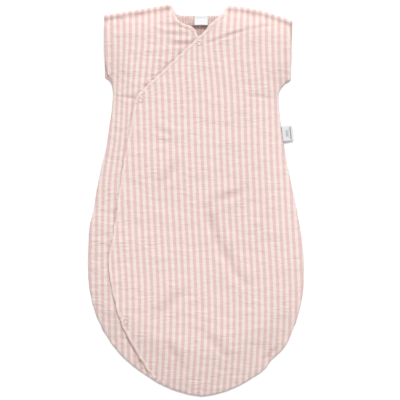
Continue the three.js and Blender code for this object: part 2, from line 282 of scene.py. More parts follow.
def shoulder(neck, cuff):
    """The shoulder seam from the neck to the cuff, slightly puckered."""
    rise = RIGHT_SHOULDER_RISE if cuff is RIGHT_CUFF else LEFT_SHOULDER_RISE
    t = np.linspace(0, 1, 60)[:, None]
    start, end = np.array(neck), np.array(cuff[0])
    corner = (start + end) / 2 + (0, 2 * rise)
    line = (1 - t) ** 2 * start + 2 * t * (1 - t) * corner + t**2 * end
    pucker = noise_along(line[:, 0], 4.5, 9)
    line[:, 1] += (1.1 * pucker - 0.8) * np.sin(np.pi * t[:, 0])
    return line


def cuff_edge(cuff, opening):
    """The front layer's edge at a cuff, from its top to its bottom. It lies a little inside the
    back layer's edge, by an amount at each place down the cuff, so that the cuff gapes."""
    top, bottom = np.array(cuff[:2], float)
    inward = -np.sign(top[0])
    return spline([top + (bottom - top) * t + (inward * gap, 0) for t, gap in opening], 6)


def front_underarm(cuff, side, opening):
    """The front layer's underarm edge: it starts where its cuff edge ends."""
    curve = underarm_curve(cuff, side)
    t = np.linspace(0, 1, len(curve))[:, None]
    return curve + (cuff_edge(cuff, opening)[-1] - curve[0]) * (1 - t) ** 2


def side_down(neck, cuff, side):
    """The back's outline from the neck along the shoulder, cuff, underarm and side to the hem."""
    return np.vstack([shoulder(neck, cuff), underarm_curve(cuff, side), side_curve(side)])


def front_side_up(seam, neck, cuff, side, opening):
    """A front layer's outline up its side seam and round the cuff to the neck."""
    return np.vstack([seam[::-1], front_underarm(cuff, side, opening)[::-1],
                      cuff_edge(cuff, opening)[-2::-1], shoulder(neck, cuff)[-2:0:-1]])


def resample(path, step):
    """Points a step apart along a path; its two ends stay."""
    path = np.asarray(path, float)
    lengths = np.concatenate([[0], np.cumsum(np.linalg.norm(np.diff(path, axis=0), axis=1))])
    count = max(2, int(round(lengths[-1] / step)) + 1)
    at = np.linspace(0, lengths[-1], count)
    return np.stack([np.interp(at, lengths, path[:, k]) for k in range(path.shape[1])], 1)


def distance_to_path(points, path):
    """How far each point is from a path."""
    best = np.full(len(points), 1e9)
    for a, b in zip(path, path[1:]):
        run = b - a
        t = np.clip(((points - a) @ run) / max(run @ run, 1e-12), 0, 1)
        best = np.minimum(best, np.linalg.norm(points - a - t[:, None] * run, axis=1))
    return best


SIDE_SEAM = np.vstack([underarm_curve(LEFT_CUFF, -1), side_curve(-1),
                       side_curve(1)[::-1], underarm_curve(RIGHT_CUFF, 1)[::-1]])
SHOULDER_SEAMS = [shoulder(neck, cuff) for neck, cuff, _ in (RIGHT, LEFT)]
CUFFS = [np.array(cuff[:2], float) for cuff in (RIGHT_CUFF, LEFT_CUFF)]

# ------------------------------------------------------------------ meshes


def triangulate(outline, step):
    """Points and triangles that fill an outline: a hexagonal grid joined to the outline."""
    border = resample(np.vstack([outline, outline[:1]]), step)[:-1]
    low, high = border.min(0), border.max(0)
    clearance = step * 0.45  # of the grid from the outline
    rows = np.arange(low[1] + step / 2, high[1], step * math.sqrt(3) / 2)
    grid = []
    for i, y in enumerate(rows):
        a, b = border, np.roll(border, -1, 0)
        crossing = (a[:, 1] > y) != (b[:, 1] > y)
        a, b = a[crossing], b[crossing]
        cuts = np.sort(a[:, 0] + (y - a[:, 1]) / (b[:, 1] - a[:, 1]) * (b[:, 0] - a[:, 0]))
        columns = np.arange(low[0] + (i % 2) * step / 2, high[0], step)
        columns = columns[np.searchsorted(cuts, columns) % 2 == 1]
        if len(cuts) and len(columns):
            clear = np.abs(columns[:, None] - cuts[None, :]).min(1) > clearance
            columns = columns[clear]
        grid.append(np.stack([columns, np.full(len(columns), y)], 1))
    inner = np.vstack(grid)
    inner = inner[distance_to_path(inner, np.vstack([border, border[:1]])) > clearance]
    points = np.vstack([border, inner])
    loop = [(i, (i + 1) % len(border)) for i in range(len(border))]
    out = delaunay_2d_cdt([Vector(p) for p in points], loop, [], 1, 1e-5)
    return np.array([tuple(p) for p in out[0]]), np.array(out[2])


def border_edges(triangles):
    """The directed edges that only one triangle has."""
    edges = np.vstack([triangles[:, [0, 1]], triangles[:, [1, 2]], triangles[:, [2, 0]]])
    _, first, count = np.unique(np.sort(edges, 1), axis=0, return_index=True, return_counts=True)
    return edges[first[count == 1]]


def vertex_normals(points, triangles):
    a, b, c = (points[triangles[:, k]] for k in range(3))
    face = np.cross(b - a, c - a)
    normals = np.zeros_like(points)
    for k in range(3):
        np.add.at(normals, triangles[:, k], face)
    return normals / np.maximum(np.linalg.norm(normals, axis=1, keepdims=True), 1e-9)


def make_object(name, points, faces, material, grain=None, fold=None):
    """A mesh object from points in millimetres. grain is its place in the woven pattern, and fold
    is painted fold shade: 1 deep in a fold, where the colour is painted darker and redder, as light
    that bounces from cloth to cloth turns redder."""
    mesh = bpy.data.meshes.new(name)
    mesh.from_pydata((np.asarray(points) / MM).tolist(), [], [tuple(f) for f in faces])
    mesh.polygons.foreach_set("use_smooth", [True] * len(mesh.polygons))
    if grain is not None:
        attribute = mesh.attributes.new("grain", "FLOAT_VECTOR", "POINT")
        attribute.data.foreach_set("vector", np.asarray(grain, np.float32).ravel())
    if fold is not None:
        attribute = mesh.attributes.new("fold", "FLOAT", "POINT")
        attribute.data.foreach_set("value", np.asarray(fold, np.float32))
    mesh.materials.append(material)
    mesh.update()
    thing = bpy.data.objects.new(name, mesh)
    bpy.context.scene.collection.objects.link(thing)
    return thing


def thick_sheet(name, top, triangles, thickness, material, grain, fold):
    """A cloth sheet from its upper surface: the same surface again below it, and rounded edges."""
    n = len(top)
    normals = vertex_normals(top, triangles)
    bottom = top - normals * np.asarray(thickness)[:, None]
    rim = border_edges(triangles)
    middle_of = {v: 2 * n + i for i, v in enumerate(np.unique(rim))}
    rim_vertices = np.array(sorted(middle_of))
    outward = np.zeros((n, 3))
    for a, b in rim:
        along = top[b] - top[a]
        out = np.cross(along, normals[a] + normals[b])
        out /= max(np.linalg.norm(out), 1e-9)
        outward[a] += out
        outward[b] += out
    outward = outward[rim_vertices]
    outward /= np.maximum(np.linalg.norm(outward, axis=1, keepdims=True), 1e-9)
    bulge = (top[rim_vertices] + bottom[rim_vertices]) / 2 + outward * 0.35 * CLOTH
    points = np.vstack([top, bottom, bulge])
    faces = [tuple(t) for t in triangles] + [(c + n, b + n, a + n) for a, b, c in triangles]
    for a, b in rim:
        faces.append((b, a, middle_of[a], middle_of[b]))
        faces.append((middle_of[b], middle_of[a], a + n, b + n))
    all_grain = np.vstack([grain, grain, grain[rim_vertices]])
    all_fold = np.concatenate([fold, np.zeros(n), fold[rim_vertices]])
    return make_object(name, points, faces, material, all_grain, all_fold)


# ------------------------------------------------------------------ the woven pattern


# Smooth noises by name: how long they are across and along the bag, and a seed.
OVER_WANDER = (70, 90, 61)
UNDER_WANDER = (60, 80, 67)
SHOULDER_GATHERS = (4.5, 40, 43)
NECK_GATHERS = (2.7, 30, 61)
SEAM_PUCKERS = (7, 7, 41)
BACK_GATHERS = (1.9, 26, 97)
BACK_SAG = (50, 30, 88)
BAND_GATHERS = (5, 40, 43)
BAND_WANDER = (16, 40, 47)
HEM_SHADES = (30, 6, 49)
EDGE_SHADES = (6, 6, 59)
SLACK = (40, 22, 3)
OVER_CRINKLE, UNDER_CRINKLE, BACK_CRINKLE = 5, 29, 83  # seeds of the fine crinkle


def noise_at(points, across, along, seed):
    """Smooth noise from -1 to 1 at each point."""
    return np.array([
        noise.noise(Vector((x / across, y / along, seed))) for x, y in points[:, :2]])


def leaning(y, lean):
    """How far a stripe has moved sideways at y, from how it leans on the way there."""
    places, degrees = np.array(lean, float).T
    step = 2.0
    steps = np.arange(places[0], places[-1] + 1, step)
    slope = np.tan(np.radians(np.interp(steps, places, degrees)))
    moved = -np.concatenate([[0], np.cumsum((slope[1:] + slope[:-1]) / 2 * step)])
    return np.interp(y, steps, moved - moved[-1])


def over_grain(points):
    """Where each place of the over layer lies in the striped cloth."""
    x, y = points[:, 0], points[:, 1]
    wander = 0.8 * noise_at(points, *OVER_WANDER)
    across = x - leaning(y, OVER_LEAN) + wander + OVER_STRIPE_SHIFT
    cross_x, cross_y = OVER_NECKLINE[-1]
    drawn_in = bump(np.hypot(x - cross_x, y - cross_y), 38)  # towards the neck crossing
    across += 0.22 * (x - cross_x) * drawn_in
    return np.column_stack([across, y, np.zeros(len(x))])


def under_grain(points):
    """Where each place of the under layer lies in the striped cloth."""
    x, y = points[:, 0], points[:, 1]
    near_cuff = 1 - smooth((x + 150) / 60)
    moved = leaning(y, UNDER_LEAN)
    moved += near_cuff * smooth((y - 20) / 100) * (leaning(y, CUFF_LEAN) - moved)
    wander = 0.8 * noise_at(points, *UNDER_WANDER)
    across = x - moved + wander + UNDER_STRIPE_SHIFT
    return np.column_stack([across, y, np.full(len(x), UNDER_CUT)])


def back_grain(points):
    """The back's cloth is drawn together by the elastic in its neckline."""
    x, y = points[:, 0], points[:, 1]
    gathered = np.exp(-(BACK_NECK_Y - y).clip(0) / 45) * bump(x - NECK_MIDDLE, 60)
    return np.column_stack([x + 1.3 * (x - NECK_MIDDLE) * gathered, y, np.full(len(x), BACK_CUT)])


# ------------------------------------------------------------------ the lie of the cloth


# Creases in the laid-out front: where each runs from and to, its depth and its width.
CREASES = [
    ((-8, 258), (-42, 257), 2.2, 3.0),
    ((-14, 272), (-60, 274), 1.2, 3.0),
    ((-18, 287), (-58, 290), 1.4, 4.0),
    ((20, 259), (84, 281), 1.8, 2.6),
    ((84, 281), (132, 291), 1.2, 3.0),
    ((82, 172), (134, 168), 1.4, 3.0),
    ((-132, 172), (-98, 168), 1.4, 3.0),
    ((-68, 119), (-38, 106), 1.0, 5.0),
    ((-66, 101), (-36, 91), 0.8, 5.0),
    ((24, -4), (82, 18), 1.6, 7.0),
    ((18, -12), (36, -66), 1.8, 8.0),
    ((36, -66), (66, -118), 1.6, 8.0),
    ((66, -118), (86, -142), 1.2, 7.0),
    ((110, -264), (139, -240), 2.0, 3.5),
    ((-30, 60), (-66, 20), 1.0, 7.0),
    ((-20, -150), (-70, -190), 1.2, 9.0),
    ((10, -215), (60, -262), 1.2, 8.0),
    ((-50, -230), (-20, -276), 1.2, 7.0),
]


def creases(points):
    """The creases as valleys with a low ridge on each side."""
    height = np.zeros(len(points))
    for start, end, depth, width in CREASES:
        a, b = np.array(start, float), np.array(end, float)
        run = b - a
        t = np.clip(((points - a) @ run) / (run @ run), 0, 1)
        away = np.linalg.norm(points - a - t[:, None] * run, axis=1)
        fade = 0.35 + 0.65 * np.sin(np.pi * np.clip(t, 0.02, 0.98))
        height -= depth * fade * bump(away, width)
        height += 0.45 * depth * fade * bump(away - 2.1 * width, width)
    return height


def crinkle(grain, seed):
    """The gauze's own crinkle: short narrow ridges across the stripes, deeper in the pink ones."""
    fine = noise_at(grain, 12, 3.4, seed) + 0.6 * noise_at(grain, 6, 2.4, seed + 7)
    stripes = 1 + 0.3 * np.cos(2 * np.pi * grain[:, 0] / STRIPE)
    patches = 0.75 + 0.6 * noise_at(grain, 55, 40, seed + 13)
    puckers = noise_at(grain, 34, 9, seed + 21)
    return 0.62 * fine * patches * stripes + 0.7 * puckers


def seam_rise(points):
    """0 at the closed seams, 1 where the cloth is at its full height."""
    sides = distance_to_path(points, SIDE_SEAM)
    shoulders = np.minimum(*[distance_to_path(points, s) for s in SHOULDER_SEAMS])
    nearest = np.minimum(sides, shoulders)
    rim = RIM + FOOT_RIM * smooth((HEM_Y + FOOT_LENGTH - points[:, 1]) / 120)
    return np.sin(np.clip(nearest / rim, 0, 1) * np.pi / 2) ** 0.8, sides, shoulders


def neck_gathers(points):
    """Fine gathers along the front neckline, from -1 in a valley to 1 on a ridge."""
    neckline = np.array([LEFT_NECK, UNDER_FOLD_TOP, *UNDER_NECKLINE, *OVER_NECKLINE[::-1],
                         OVER_FOLD_TOP, RIGHT_NECK], float)
    return bump(distance_to_path(points, neckline), 11) * noise_at(points, *NECK_GATHERS)


def front_height(points, drape):
    """The upper surface of the front, as it lies on the body space."""
    rise, sides, shoulders = seam_rise(points)
    in_sleeve = smooth((np.abs(points[:, 0]) - 105) / 50) * smooth((points[:, 1] - 180) / 30)
    crown = CROWN_Z - SEAM_Z - SLEEVE_DROP * in_sleeve
    gathers = noise_at(points, *SHOULDER_GATHERS)
    allowance = 1.5 * bump(shoulders - 3.5, 2.6)  # cloth turned in at the seam holds it up
    valley = (3.2 + 1.6 * gathers) * bump(shoulders - 10.5, 4.2)  # and beside that it sinks
    pucker = 0.9 * bump(sides - 5, 5) * noise_at(points, *SEAM_PUCKERS)
    pucker += 0.8 * bump(shoulders - 3, 4) * gathers + 0.8 * neck_gathers(points)
    lie = (creases(points) + drape(points)) * rise
    return SEAM_Z + crown * rise + (allowance - valley) + pucker + lie


# ------------------------------------------------------------------ cloth simulation


SETTLING_FRAMES = 25
CLOTH_SETTINGS = {
    "vertex_group_mass": "held",
    "shrink_min": -0.035,  # over-long by this part of its size
    "tension_stiffness": 12,
    "compression_stiffness": 12,
    "bending_stiffness": 0.25,
    "use_pressure": True,
    "uniform_pressure_force": 0.4,
    "air_damping": 2,
}
SIM_STEP = 6.0
SIM_SEAM_Z, SIM_RISE = 6, 8  # the height of the cloth at the seams, and how much it rises
DRAPE = 1.3  # how far the front rises and falls


def simulated_drape():
    """Simulates the front as a slightly over-long cloth held at its seams. Returns a function
    that gives the simulated rise and fall at any place."""
    outline = np.vstack([side_down(*RIGHT), side_down(*LEFT)[::-1]])
    flat, triangles = triangulate(outline, SIM_STEP)
    rise, _, _ = seam_rise(flat)
    start = np.column_stack([flat, SIM_SEAM_Z + SIM_RISE * rise])
    start[:, 2] += 0.5 * noise_at(flat, *SLACK)
    cloth = make_object("drape", start, triangles, bpy.data.materials.new("drape"))
    held = cloth.vertex_groups.new(name="held")
    border = np.unique(border_edges(triangles))
    held.add([int(v) for v in border], 1.0, "REPLACE")
    cloth_modifier = cloth.modifiers.new("cloth", "CLOTH")
    for setting, value in CLOTH_SETTINGS.items():
        setattr(cloth_modifier.settings, setting, value)
    cloth_modifier.settings.effector_weights.gravity = 0
    scene = bpy.context.scene
    for number in range(1, SETTLING_FRAMES + 1):
        scene.frame_set(number)
    graph = bpy.context.evaluated_depsgraph_get()
    settled = cloth.evaluated_get(graph).to_mesh()
    after = np.zeros(len(settled.vertices) * 3)
    settled.vertices.foreach_get("co", after)
    change = after.reshape(-1, 3)[:, 2] * MM - start[:, 2]
    bpy.data.objects.remove(cloth)
    scene.frame_set(1)
    change = DRAPE * np.tanh((change - change.mean()) / change.std() / 1.5)
    surface = np.column_stack([flat, change]).tolist()
    return height_map(BVHTree.FromPolygons(surface, [tuple(t) for t in triangles]))


def height_map(tree):
    """Turns a surface over the plan into a smoothed map that can be read anywhere."""
    step = 3.0
    columns = np.arange(-200, 201, step)  # a little past the bag all round
    rows = np.arange(-345, 346, step)
    heights = np.zeros((len(rows), len(columns)))
    down = Vector((0, 0, -1))
    for i, y in enumerate(rows):
        for j, x in enumerate(columns):
            hit = tree.ray_cast(Vector((x, y, 100)), down)[0]
            heights[i, j] = hit.z if hit else 0
    for axis in (0, 1, 0, 1):
        heights = np.apply_along_axis(np.convolve, axis, heights, np.array([1, 2, 1]) / 4, "same")

    def read(points):
        u = np.clip((points[:, 0] - columns[0]) / step, 0, len(columns) - 1.001)
        v = np.clip((points[:, 1] - rows[0]) / step, 0, len(rows) - 1.001)
        j, i = u.astype(int), v.astype(int)
        s, t = smooth(u - j), smooth(v - i)
        top = heights[i, j] * (1 - s) + heights[i, j + 1] * s
        bottom = heights[i + 1, j] * (1 - s) + heights[i + 1, j + 1] * s
        return top * (1 - t) + bottom * t

    return read


# ------------------------------------------------------------------ materials


class Nodes:
    """The nodes of a material or of the world, with short ways to add more of them. An input is
    a plain value or the output of another node."""

    def __init__(self, owner):
        owner.use_nodes = True
        self.owner = owner
        self.tree = owner.node_tree

    def fill(self, node, inputs):
        for name, value in inputs.items():
            if isinstance(value, bpy.types.NodeSocket):
                self.tree.links.new(value, node.inputs[name])
            else:
                node.inputs[name].default_value = value

    def add(self, kind, inputs, output, **settings):
        node = self.tree.nodes.new("ShaderNode" + kind)
        for setting, value in settings.items():
            setattr(node, setting, value)
        self.fill(node, inputs)
        return node.outputs[output]

    def finished(self, last_node, inputs):
        """Connect the last node, and hand back the material."""
        self.fill(self.tree.nodes[last_node], inputs)
        return self.owner

    def attribute(self, name, output):
        return self.add("Attribute", {}, output, attribute_name=name)

    def math(self, operation, *values):
        return self.add("Math", dict(enumerate(values)), 0, operation=operation)

    def wave(self, shape, place, pitch):
        return self.math(shape, self.math("MULTIPLY", place, 2 * math.pi / pitch))

    def noise(self, place, scale, detail=3.0):
        return self.add("TexNoise", {"Vector": place, "Scale": scale, "Detail": detail}, "Fac")

    def mix(self, factor, a, b):
        return self.add("Mix", {"Factor": factor, "A": a, "B": b}, "Result", data_type="RGBA")

    def relief(self, height, strength, distance, **more):
        inputs = {"Height": height, "Strength": strength, "Distance": distance, **more}
        return self.add("Bump", inputs, "Normal")


def gauze_material(name, pink, cream, stripe_depth=1.0):
    """Crinkled double gauze with soft woven stripes, drawn from the grain attribute."""
    nodes = Nodes(bpy.data.materials.new(name))
    grain = nodes.attribute("grain", "Vector")
    across = nodes.add("SeparateXYZ", {0: grain}, "X")
    along = nodes.add("SeparateXYZ", {0: grain}, "Y")

    wobble = nodes.math("MULTIPLY", nodes.math("SUBTRACT", nodes.noise(grain, 0.09), 0.5), 1.1)
    wave = nodes.wave("COSINE", nodes.math("ADD", across, wobble), STRIPE)
    fuzz = nodes.noise(grain, 1.4, 2.0)
    soft = nodes.math("MULTIPLY_ADD", nodes.math("SUBTRACT", fuzz, 0.5), 0.5, wave)
    edge = nodes.add("MapRange", {"Value": soft, "From Min": -0.4, "From Max": 0.4}, "Result",
                     interpolation_type="SMOOTHSTEP")
    colour = nodes.mix(nodes.math("MULTIPLY", edge, stripe_depth), cream, pink)

    fade = nodes.math("MULTIPLY", nodes.noise(grain, 0.028, 4.0), 0.16)
    colour = nodes.mix(fade, colour, tuple(0.86 * c for c in pink[:3]) + (1,))
    weave = nodes.math("MULTIPLY", nodes.wave("SINE", across, WARP_PITCH),
                       nodes.wave("SINE", along, WEFT_PITCH))
    colour = nodes.mix(nodes.math("MULTIPLY_ADD", weave, 0.05, 0.06), colour, YARN_SHADE)
    # Painted fold shade: the colour turns darker and redder where the fold attribute is high.
    colour = nodes.mix(nodes.attribute("fold", "Fac"), colour, PAINTED_FOLD_SHADE)

    def stretched_noise(stretch, detail):
        place = nodes.add("VectorMath", {0: grain, 1: stretch}, 0, operation="MULTIPLY")
        return nodes.noise(place, 1.0, detail)

    waves = stretched_noise((0.06, 0.34, 1), 1.0)
    patches = nodes.math("MULTIPLY_ADD", stretched_noise((0.03, 0.035, 1), 1.0), 3.0, -0.5)
    height = nodes.math("MULTIPLY_ADD", stretched_noise((0.22, 0.8, 1), 3.0), 0.35,
                        nodes.math("MULTIPLY", waves, patches))
    crinkled = nodes.relief(height, 1.0, 0.0007)
    return nodes.finished("Principled BSDF", {
        "Base Color": colour,
        "Normal": nodes.relief(weave, 0.35, 0.00012, Normal=crinkled),
        "Roughness": nodes.math("MULTIPLY_ADD", fuzz, 0.12, 0.84),
        "Specular IOR Level": 0.25,
        "Sheen Weight": 0.15,
        "Sheen Roughness": 0.6,
    })


def satin_material(name, pale=0.8, marks=()):
    """Woven tape with fine ribs. A label also has plain grey woven bars across it: each has its
    place along the tape, half its height, half its length and its strength."""
    nodes = Nodes(bpy.data.materials.new(name))
    place = nodes.add("TexCoord", {}, "Object")
    ribs = nodes.add("TexWave", {"Vector": place, "Scale": 900, "Distortion": 0.6}, "Fac")
    speckle = nodes.noise(place, 400)
    colour = nodes.mix(speckle, (0.95 * pale, 0.96 * pale, 0.985 * pale, 1),
                       (1.05 * pale, 1.055 * pale, 1.07 * pale, 1))
    for mark in marks:
        colour = nodes.mix(woven_bar(nodes, *mark), colour, (0.2, 0.2, 0.22, 1))
    return nodes.finished("Principled BSDF", {
        "Base Color": colour,
        "Normal": nodes.relief(ribs, 0.25, 0.0001),
        "Roughness": nodes.math("MULTIPLY_ADD", speckle, 0.15, 0.38),
        "Sheen Weight": 0.1,
    })


def woven_bar(nodes, along, half_height, half_length, strength):
    """How strongly a plain bar shows at each place of a label's tape."""
    grain = nodes.attribute("grain", "Vector")
    offset = nodes.math("SUBTRACT", nodes.add("SeparateXYZ", {0: grain}, "X"), along)
    away = nodes.math("ABSOLUTE", offset)
    aside = nodes.math("ABSOLUTE", nodes.add("SeparateXYZ", {0: grain}, "Y"))
    bar = nodes.math("MULTIPLY", nodes.math("LESS_THAN", away, half_height),
                     nodes.math("LESS_THAN", aside, half_length))
    return nodes.math("MULTIPLY", bar, strength)


def pearl_material():
    """Satin pearl enamel over pressed brass, for the snaps."""
    nodes = Nodes(bpy.data.materials.new("pearl_enamel"))
    cloud = nodes.noise(nodes.add("TexCoord", {}, "Object"), 500)
    return nodes.finished("Principled BSDF", {
        "Base Color": nodes.mix(cloud, (0.62, 0.48, 0.44, 1), (0.72, 0.60, 0.56, 1)),
        "Metallic": 0.15,
        "Roughness": nodes.math("MULTIPLY_ADD", cloud, 0.2, 0.22),
        "Coat Weight": 0.3,
    })


def thread_material():
    """Pale sewing thread with a fine twist."""
    nodes = Nodes(bpy.data.materials.new("pale_thread"))
    place = nodes.add("TexCoord", {}, "Object")
    twist = nodes.add("TexWave", {"Vector": place, "Scale": 1500}, "Fac",
                      bands_direction="DIAGONAL")
    return nodes.finished("Principled BSDF", {
        "Base Color": nodes.mix(twist, (0.84, 0.66, 0.6, 1), (0.9, 0.78, 0.71, 1)),
        "Roughness": 0.7,
    })


PINK = (0.73, 0.505, 0.49, 1)
CREAM = (0.81, 0.71, 0.65, 1)
# Painted shade deep in folds: darker and redder, as light that bounces from cloth to cloth turns
# redder.
PAINTED_FOLD_SHADE = (0.42, 0.235, 0.20, 1)
YARN_SHADE = (0.62, 0.5, 0.46, 1)
thread = thread_material()
gauze = gauze_material("striped_gauze", PINK, CREAM)
binding_cloth = gauze_material("pale_binding", (0.79, 0.565, 0.545, 1), (0.82, 0.72, 0.66, 1), 0.9)
satin = satin_material("white_satin")
neck_satin = satin_material("neck_satin", 0.78, [(4.2, 0.7, 0.36, 0.3)])
side_satin = satin_material("side_satin", 0.66, [(13.4, 1.0, 0.4, 0.85), (7.4, 1.9, 0.2, 0.5),
                                                 (10.4, 0.5, 0.3, 0.4)])
pearl = pearl_material()


# ------------------------------------------------------------------ the cloth pieces


def hem_thickness(points):
    """Cloth thickness, double where a hem is turned in at the cuffs, and the way to the cuff."""
    nearest = np.min([distance_to_path(points, c) for c in CUFFS], axis=0)
    return CLOTH * (1 + 0.8 * (1 - smooth((nearest - HEM_WIDTH + 1.5) / 1.5))), nearest


def edge_calm(points):
    """Less crinkle right at the closed seams, where the cloth is held."""
    return 0.45 + 0.55 * smooth(distance_to_path(points, SIDE_SEAM) / 12)


def near_snap(points):
    """1 under the snaps, where they press the cloth flat, falling to 0 around them."""
    nearest = np.min([np.hypot(*(points - s[:2]).T) for s in SNAPS], axis=0)
    return 1 - smooth((nearest - SNAP_RADIUS) / SNAP_DISH)


def flattened(points, surface):
    """The surface with a level place under each snap."""
    near = near_snap(points)
    heights = surface(points)
    for snap in SNAPS:
        around = np.hypot(*(points - snap[:2]).T) < SNAP_RADIUS + SNAP_DISH
        if around.any():
            level = surface(snap[None, :2])[0]
            heights[around] += (level - heights[around]) * near[around]
    return heights


def over_rest(points):
    """The over layer's upper surface before its own crinkle."""
    return flattened(points, lambda p: front_height(p, drape))


def over_surface(points):
    """The over layer's upper surface."""
    pressed = cuff_stitching(points) - 0.2 * over_edge_press(points)
    calm = edge_calm(points) * (1 - near_snap(points))
    wrinkles = crinkle(over_grain(points), OVER_CRINKLE) * calm
    return over_rest(points) + wrinkles + pressed + GAP_LIFT * hem_gap(points)


def cuff_stitching(points):
    """How deep the stitches of the cuff hems pull the cloth in."""
    _, cuff = hem_thickness(points)
    return -1.1 * bump(cuff - HEM_WIDTH, 1.2)


def hem_gap(points):
    """1 where the over layer's edge stands away from the layer below, above the hem."""
    edge = GAP_START[None, :] + np.linspace(0, 1, 12)[:, None] * (GAP_END - GAP_START)
    return bump(distance_to_path(points, edge), GAP_REACH) * seam_rise(points)[0]


def over_edge_press(points):
    """The over layer is pressed down a little where its binding is stitched."""
    return bump(distance_to_path(points, over_edge()) - BINDING_WIDTH, 1.5)


def under_surface(points):
    """The under layer's upper surface: a little below the over layer, also where it shows."""
    rise, _, _ = seam_rise(points)
    calm = edge_calm(points) * (1 - near_snap(points))
    wrinkles = 1.4 * crinkle(under_grain(points), UNDER_CRINKLE) * calm * uncovered(points)
    pressed = cuff_stitching(points) - SNAP_SQUEEZE * near_snap(points)
    sunk = GAP_SINK * hem_gap(points) + 0.9 * bump(distance_to_path(points, over_edge()), 6)
    return over_rest(points) - LAYER_DROP * rise + wrinkles + pressed - sunk * rise


def uncovered(points):
    """1 where the under layer shows beside the over layer, less below it."""
    covered = inside_outline(points, over_area())
    away = distance_to_path(points, over_edge())
    return np.where(covered, 0.25, 0.25 + 0.75 * smooth(away / 5))


def over_area():
    """An outline that holds the over layer and runs on to its right."""
    far = HIP_WIDTH
    return np.vstack([over_edge(), [(far, OVER_HEM_END[1])], [(far, RIGHT_NECK[1])]])


def inside_outline(points, outline):
    inside = np.zeros(len(points), bool)
    for (ax, ay), (bx, by) in zip(outline, np.roll(outline, -1, 0)):
        if ay == by:
            continue
        crossing = (ay > points[:, 1]) != (by > points[:, 1])
        at = ax + (points[:, 1] - ay) / (by - ay) * (bx - ax)
        inside ^= crossing & (points[:, 0] < at)
    return inside


def front_fold_shade(points):
    """How much painted fold shade each place of the front has, from how deep in a fold it is: beside
    the shoulder seams and cuff hems, and in creases."""
    _, _, shoulders = seam_rise(points)
    _, cuff = hem_thickness(points)
    gathers = 0.55 + 1.1 * noise_at(points, *BAND_GATHERS)
    wander = 2.5 * noise_at(points, *BAND_WANDER)
    # Painted shade in the valley beside each shoulder seam, along the cuff hems, in the neck's
    # gather valleys and in the creases.
    band = 0.3 * bump(shoulders - 8.5 - wander, 5.5) * gathers
    hem = 0.22 * bump(cuff - HEM_WIDTH, 1.6) * (0.5 + 1.2 * noise_at(points, *HEM_SHADES))
    neck = 0.8 * (-neck_gathers(points) - 0.05).clip(0)
    return band + hem.clip(0) + neck + 0.15 * (-creases(points)).clip(0)


def under_fold_shade(points):
    """The same painted fold shade for the under layer, which also has the over layer's shade painted
    along its edge.
    """
    edge = bump(distance_to_path(points, over_edge()) - 1.5, 3)
    edge *= 0.35 + 0.25 * smooth((points[:, 1] - OVER_CORNER[1]) / 20)
    # Painted shade: dark spots where folds gape beside the over layer's edge above the hem.
    gap_shades = sum(0.75 * bump(np.hypot(*(points - gap_spot).T), 4) for gap_spot in HEM_GAP_SHADES)
    return front_fold_shade(points) + edge * (0.3 + 1.4 * noise_at(points, *EDGE_SHADES)).clip(0) + gap_shades


def back_gathers(points, length):
    """1 at the elastic, falling to 0 below it and to its sides."""
    return (np.exp(-(BACK_NECK_Y - points[:, 1]).clip(0) / length)
            * bump(points[:, 0] - NECK_MIDDLE, 36))


def back_fold_shade(points):
    """The back is in deep shade below the neck, deeper between its gathers, and in the cuffs."""
    valleys = 0.5 - 1.1 * noise_at(points, *BACK_GATHERS)
    _, cuff = hem_thickness(points)
    shade = bump(points[:, 0] - 10, 13) * back_gathers(points, 40)
    # Painted shade below the neck, deeper between the gathers, and inside the cuffs.
    return 1.1 * (0.4 + 0.6 * valleys).clip(0) * shade + 0.5 * bump(cuff, 9)


def back_surface(points):
    """The back's upper surface: nearly flat, gathered in below the elastic."""
    gathered = back_gathers(points, 20)
    ridges = 1.2 * noise_at(points, *BACK_GATHERS) * gathered
    crinkled = 0.45 * crinkle(back_grain(points), BACK_CRINKLE)
    lift = BACK_Z + crinkled + 0.5 * noise_at(points, *BACK_SAG)
    thickness, _ = hem_thickness(points)
    return np.maximum(lift + 1.2 * gathered + ridges, thickness + 0.05)


def blend_flap(piece):
    """Bakes the piece's placement into its points."""
    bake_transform(piece)


def blend_over(piece):
    blend_flap(piece)


def blend_under(piece):
    blend_flap(piece)


def cloth_sheet(name, outline, surface, grain, fold, step=MESH_STEP):
    """One layer of gauze cut to an outline and laid on a surface."""
    flat, triangles = triangulate(outline, step)
    thickness, _ = hem_thickness(flat)
    top = np.column_stack([flat, surface(flat)])
    cloth = thick_sheet(name, top, triangles, thickness, gauze, grain(flat), fold(flat))
    return cloth


def over_cloth():
    left_hem = side_curve(-1)
    left_hem = left_hem[left_hem[:, 1] < OVER_HEM_END[1] - 1][:-1]
    outline = np.vstack([over_edge(), left_hem,
                         front_side_up(side_curve(1), *RIGHT, RIGHT_CUFF_GAPE)])
    cloth = cloth_sheet("over_cloth", outline, over_surface, over_grain, front_fold_shade)
    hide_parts("right_front_panel", "over_flap")
    blend_over(cloth)


def under_cloth():
    """The under layer, in two pieces that meet below the foot of its fold."""
    side = side_curve(-1)
    fold_x = UNDER_FOOT[0] + (side[:, 1] - UNDER_FOOT[1]) * UNDER_ALONG[0] / UNDER_ALONG[1]
    left_of_fold = side[side[:, 0] < fold_x]
    outline = np.vstack([under_edge(), front_side_up(left_of_fold, *LEFT, LEFT_CUFF_GAPE)])
    cloth = cloth_sheet("under_cloth", outline, under_surface, under_grain, under_fold_shade)
    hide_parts("left_front_panel", "under_flap")
    blend_under(cloth)

    last = left_of_fold[-1]
    hem = side[(side[:, 1] < last[1]) & (side[:, 0] < UNDER_FOOT_END[0])]
    foot = cloth_sheet("under_cloth_foot", np.vstack([[UNDER_FOOT], [last], hem, [UNDER_FOOT_END]]),
                       under_surface, under_grain, under_fold_shade)
    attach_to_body(foot, "bag")


